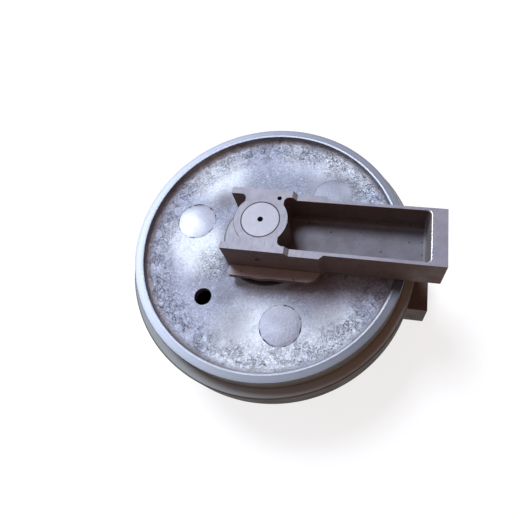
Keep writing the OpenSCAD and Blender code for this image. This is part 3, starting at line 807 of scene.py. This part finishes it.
def revolve(mesh, section):
    """Adds a closed section, turned about Z, to a bmesh. Faces take their finish as material."""
    rings = []
    for turn in range(WHEEL_TURNS):
        angle = 2 * math.pi * turn / WHEEL_TURNS
        cosine, sine = math.cos(angle), math.sin(angle)
        rings.append([mesh.verts.new((r * cosine, r * sine, z)) for r, z, _ in section])
    count = len(section)
    for turn in range(WHEEL_TURNS):
        here, there = rings[turn], rings[(turn + 1) % WHEEL_TURNS]
        for i in range(count):
            j = (i + 1) % count
            face = mesh.faces.new((here[i], there[i], there[j], here[j]))
            face.material_index = section[i][2]
            face.smooth = True


def core_places(side):
    """Centres of a web's core holes as (x, y). Those of the inboard web mirror the outboard ones."""
    return [(CORE_PITCH_R * math.cos(a), side * CORE_PITCH_R * math.sin(a)) for a in CORE_ANGLES]


# Cast skin of the webs: its heights, and the radii where it begins and is full, from the dish's wall, from
# the hub boss and about each plug, and those where the wrinkles begin and are full
WRINKLE_H = 0.0008
SWELL_H = 0.0004
WRINKLE_BEND = 0.006
SKIN_DISH_RADII = (DISH_R + 0.0004, DISH_R - 0.006)
SKIN_BOSS_RADII = (HUB_BOSS_R - 0.002, HUB_BOSS_R + 0.008)
SKIN_PLUG_RADII = (CORE_PLUG_R + 0.0005, CORE_PLUG_R + 0.005)
WRINKLE_RADII = (0.160, 0.225)


def cast_relief(place):
    """Height of the cast skin at a point of a web: wrinkled near the rim, calmer near the hub."""
    radius = math.hypot(place.x, place.y)
    inside = smoothstep(*SKIN_DISH_RADII, radius)
    inside *= smoothstep(*SKIN_BOSS_RADII, radius)
    for centre in core_places(1 if place.z > 0 else -1):
        away = (place.xy - Vector(centre)).length
        inside *= smoothstep(*SKIN_PLUG_RADII, away)
    if inside == 0:
        return 0.0
    wild = 0.2 + 0.8 * smoothstep(*WRINKLE_RADII, radius)
    wild *= 0.6 + 0.8 * smoothstep(-0.2, 0.4, noise.noise(place * 18))
    bent = place + noise.noise_vector(place * 45) * WRINKLE_BEND
    wrinkles = noise.fractal(bent * 120, 0.9, 2.1, 3)
    swell = noise.noise(place * 32)
    return inside * (WRINKLE_H * wild * wrinkles + SWELL_H * swell)


def raise_cast_skin(mesh):
    """Moves the cast vertices by the relief, and keeps it as an attribute for the material."""
    relief = mesh.verts.layers.float.new("relief")
    moves = []
    for vert in mesh.verts:
        on_cast = any(face.material_index == CAST for face in vert.link_faces)
        height = cast_relief(vert.co) if on_cast else 0.0
        vert[relief] = height
        moves.append(vert.normal * height)
    for vert, move in zip(mesh.verts, moves):
        vert.co += move


def add_mesh(name, mesh, materials):
    data = bpy.data.meshes.new(name)
    mesh.to_mesh(data)
    mesh.free()
    for material in materials:
        data.materials.append(material)
    made = bpy.data.objects.new(name, data)
    bpy.context.scene.collection.objects.link(made)
    return made


def even_shading(piece):
    """Keeps flat faces flat beside their rounded edges."""
    weighted = piece.modifiers.new("even_shading", "WEIGHTED_NORMAL")
    weighted.keep_sharp = True


def cut(target, cutter):
    """Takes the cutter's shape out of the target and removes the cutter."""
    modifier = target.modifiers.new("cut", "BOOLEAN")
    modifier.operation = "DIFFERENCE"
    modifier.solver = "MANIFOLD"
    modifier.object = cutter
    graph = bpy.context.evaluated_depsgraph_get()
    result = bpy.data.meshes.new_from_object(target.evaluated_get(graph))
    target.modifiers.clear()
    target.data = result
    bpy.data.objects.remove(cutter)


def bridge(mesh, rings):
    """Joins rings of vertices, each to the next, and closes the first and the last."""
    for ring, following in zip(rings, rings[1:]):
        for k in range(len(ring)):
            after = (k + 1) % len(ring)
            mesh.faces.new((ring[k], ring[after], following[after], following[k]))
    mesh.faces.new(reversed(rings[0]))
    mesh.faces.new(rings[-1])


# Holes of the webs: sides of a hole's circle, and how far a cutter reaches past the web
HOLE_SEGMENTS = 96
CUT_OVER = 0.002


def drill(mesh, place, steps):
    """Adds a cutter about an upright axis, made of circles given as (radius, height)."""
    turns = [2 * math.pi * k / HOLE_SEGMENTS for k in range(HOLE_SEGMENTS)]
    x, y = place
    rings = []
    for radius, z in steps:
        circle = [(x + radius * math.cos(turn), y + radius * math.sin(turn), z) for turn in turns]
        rings.append([mesh.verts.new(point) for point in circle])
    bridge(mesh, rings)


def hole_cutter():
    """All holes of the webs as one cutting shape."""
    mesh = bmesh.new()
    ledge_r = CORE_PLUG_R - CORE_LEDGE
    seat_z = WEB_Z - CORE_PLUG_T
    low, high = CAVITY_Z - CUT_OVER, WEB_Z + CUT_OVER
    core_steps = [(ledge_r, low), (ledge_r, seat_z), (CORE_PLUG_R, seat_z), (CORE_PLUG_R, high)]
    for side in SIDES.values():
        for place in core_places(side):
            drill(mesh, place, [(radius, side * z) for radius, z in core_steps])
    drill(mesh, VENT_PLACE, [(VENT_R, low), (VENT_R, high)])
    bmesh.ops.recalc_face_normals(mesh, faces=mesh.faces)
    return add_mesh("hole_cutter", mesh, [])


def add_wheel(materials):
    """The hollow wheel, with its cast skin as real relief and its holes cut."""
    mesh = bmesh.new()
    revolve(mesh, section_points(mirrored_section(wheel_half_section())))
    revolve(mesh, section_points(cavity_section()))
    mesh.normal_update()
    bmesh.ops.recalc_face_normals(mesh, faces=mesh.faces)
    raise_cast_skin(mesh)
    wheel = add_mesh("idler_shell_looks", mesh, materials)
    cut(wheel, hole_cutter())
    wheel.data.set_sharp_from_angle(angle=WHEEL_SHARP_ANGLE)
    even_shading(wheel)
    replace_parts(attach(wheel, "wheel"), "idler_shell")


def add_plugs(side, material):
    """Core plugs with worn, slightly domed faces. Their uneven edges leave an open seam in the web."""
    mesh = bmesh.new()
    rim = mesh.verts.layers.float.new("rim")
    top, seat = WEB_Z + PLUG_RISE, WEB_Z - CORE_PLUG_T
    sign = SIDES[side]
    levels = [(share, False) for share in PLUG_STEPS] + [(1.0, True)]
    for place, seam in zip(core_places(sign), PLUG_SEAMS):
        centre = Vector((*place, 0))
        rings = []
        for share, on_seat in levels:
            ring = []
            for k in range(PLUG_TURNS):
                turn = 2 * math.pi * k / PLUG_TURNS
                out = Vector((math.cos(turn), math.sin(turn), 0))
                ragged = 0.5 + 0.5 * noise.fractal((centre + out * CORE_PLUG_R) * 70, 0.8, 2.2, 3)
                eaten = seam * min(RAGGED_MOST, max(0.0, ragged - RAGGED_FROM))
                at = centre + out * (CORE_PLUG_R - PLUG_CLEARANCE - eaten) * share
                dome = PLUG_DOME * share ** 4 + PLUG_RIPPLE * (0.5 + 0.5 * noise.noise(at * 60))
                vert = mesh.verts.new((at.x, at.y, sign * (seat if on_seat else top - dome)))
                vert[rim] = share * seam / max(PLUG_SEAMS)
                ring.append(vert)
            rings.append(ring)
        bridge(mesh, rings)
    bmesh.ops.recalc_face_normals(mesh, faces=mesh.faces)
    for face in mesh.faces:
        face.smooth = True
    node = "core_plugs_" + side
    plugs = add_mesh(node + "_looks", mesh, [material])
    plugs.data.set_sharp_from_angle(angle=PLUG_SHARP_ANGLE)
    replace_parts(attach(plugs, "wheel"), node)


# Finishes of the brackets, how their edges are broken, and what tells their faces apart
# Cast faces are sorted by where they look, so that those that look up and the pocket's end wall get
# lighter tones as painted light
MILLED, CAST_SIDE, LIT_PLATE, WORN_EDGE_AND_GLINT, POCKET_FLOOR, LIT_END_WALL = range(6)
BRACKET_SHARP_ANGLE = math.radians(40)
SAME_PLANE_ANGLE = math.radians(0.6)
SAME_PLACE = 0.00002
EDGE_BREAK = 0.0009
EDGE_SEGMENTS = 2
POCKET_RIM_ROUND = 0.0024
POCKET_RIM_SEGMENTS = 4
POCKET_CORNER_L = 0.012
SAME_LEVEL = 0.0003
PAST_POCKET = 0.001
FACING_UP = 0.8
MILLED_FACING_UP = 0.6
WORN_GLINT_FACING_UP = (0.1, 0.992)
FACING_BACK = -0.5
WORN_GLINT_DEPTH = 0.003
MILLED_DEPTH = 0.002
PLATE_TIP_X = -0.02
PLATE_TIP_Y = -0.062


def on_pocket_end(vert, sign):
    """Whether a vertex lies on the end of the pocket's rim."""
    in_face = abs(sign * vert.co.z - ARM_FACE_Z) < SAME_LEVEL
    return in_face and POCKET_END - POCKET_CORNER_L < vert.co.x < POCKET_END + PAST_POCKET


def sharp_edges(mesh):
    edges = [edge for edge in mesh.edges if edge.is_manifold]
    return [edge for edge in edges if edge.calc_face_angle() > BRACKET_SHARP_ANGLE]


def bevel(mesh, edges, offset, segments):
    bmesh.ops.bevel(
        mesh, geom=edges, offset=offset, offset_type="OFFSET", segments=segments, profile=0.5,
        affect="EDGES", clamp_overlap=True, loop_slide=True
    )


def bracket_finish(face, sign):
    """The finish of a bracket's face, from where it lies and where it looks. Cast faces that look up, and
    the pocket's end wall, which looks towards the lamp, get lighter tones as painted light; the sides get
    a darker one, partly painted shade.
    """
    centre = face.calc_center_median()
    height = sign * centre.z
    upright = sign * face.normal.z
    in_pocket = centre.x > POCKET_START and abs(centre.y) < POCKET_HALF_W
    on_plate_tip = centre.x < PLATE_TIP_X and centre.y > PLATE_TIP_Y
    slanting = WORN_GLINT_FACING_UP[0] < upright < WORN_GLINT_FACING_UP[1]
    lowest_milled = ARM_FACE_Z - MILLED_DEPTH if in_pocket else LOWEST_MILLED_Z
    # The round of the pocket's rim: worn, and lighter as a painted highlight
    if in_pocket and slanting and height > ARM_FACE_Z - WORN_GLINT_DEPTH:
        return WORN_EDGE_AND_GLINT
    if upright > MILLED_FACING_UP and height > lowest_milled:
        return MILLED
    if upright > FACING_UP:
        return MILLED if on_plate_tip else POCKET_FLOOR if in_pocket else LIT_PLATE
    return LIT_END_WALL if in_pocket and face.normal.x < FACING_BACK else CAST_SIDE


def add_bracket(side, materials):
    """The bracket's own shape, with its sharp edges broken and the end of the pocket's rim rounder."""
    node = "bracket_" + side
    sign = SIDES[side]
    mesh = bmesh.new()
    mesh.from_mesh(NODES[node].data)
    bmesh.ops.remove_doubles(mesh, verts=mesh.verts, dist=SAME_PLACE)
    bmesh.ops.dissolve_limit(mesh, angle_limit=SAME_PLANE_ANGLE, verts=mesh.verts, edges=mesh.edges)
    sharp = sharp_edges(mesh)
    pocket_rim = [edge for edge in sharp if all(on_pocket_end(vert, sign) for vert in edge.verts)]
    bevel(mesh, pocket_rim, POCKET_RIM_ROUND, POCKET_RIM_SEGMENTS)
    bevel(mesh, sharp_edges(mesh), EDGE_BREAK, EDGE_SEGMENTS)
    for face in mesh.faces:
        face.smooth = True
        face.material_index = bracket_finish(face, sign)
    bracket = add_mesh(node + "_looks", mesh, materials)
    bracket.data.set_sharp_from_angle(angle=BRACKET_SHARP_ANGLE)
    even_shading(bracket)
    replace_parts(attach(bracket, "carrier"), node)


def both_sides(name):
    return [name + "_" + side for side in SIDES]


def dress(nodes, material):
    """Gives CAD nodes their finish."""
    for node in nodes:
        data = NODES[node].data
        data.materials.clear()
        data.materials.append(material)


add_camera()
add_floor()
add_lamp()
add_surroundings()
bpy.context.scene.view_settings.view_transform = "Standard"

# Lists of materials in the order of the finishes' numbers
wheel_materials = [
    cast_web_material(),
    turned_material(),
    rim_material(),
    plain_metal_material("bored_steel"),
    plain_metal_material("cored_iron"),
]
bracket_materials = [
    milled_material(),
    bracket_cast_material("bracket_cast"),
    bracket_cast_material("plate_cast_lit"),
    plain_metal_material("worn_edge_and_glint"),
    bracket_cast_material("pocket_cast"),
    bracket_cast_material("pocket_end"),
]
ground_plug = plug_material()

add_wheel(wheel_materials)
for side in SIDES:
    add_bracket(side, bracket_materials)
for side in SIDES:
    add_plugs(side, ground_plug)
dress(["shaft"], shaft_material())
dress(both_sides("lock_pin") + ["oil_plug"], plain_metal_material("pin_steel"))
dress(both_sides("bush"), plain_metal_material("bush_bronze"))
dress(both_sides("rotating_seal_ring") + both_sides("fixed_seal_ring"), plain_metal_material("seal_iron"))
dress(both_sides("rotating_toric") + both_sides("fixed_toric") + both_sides("o_ring"), rubber_material())
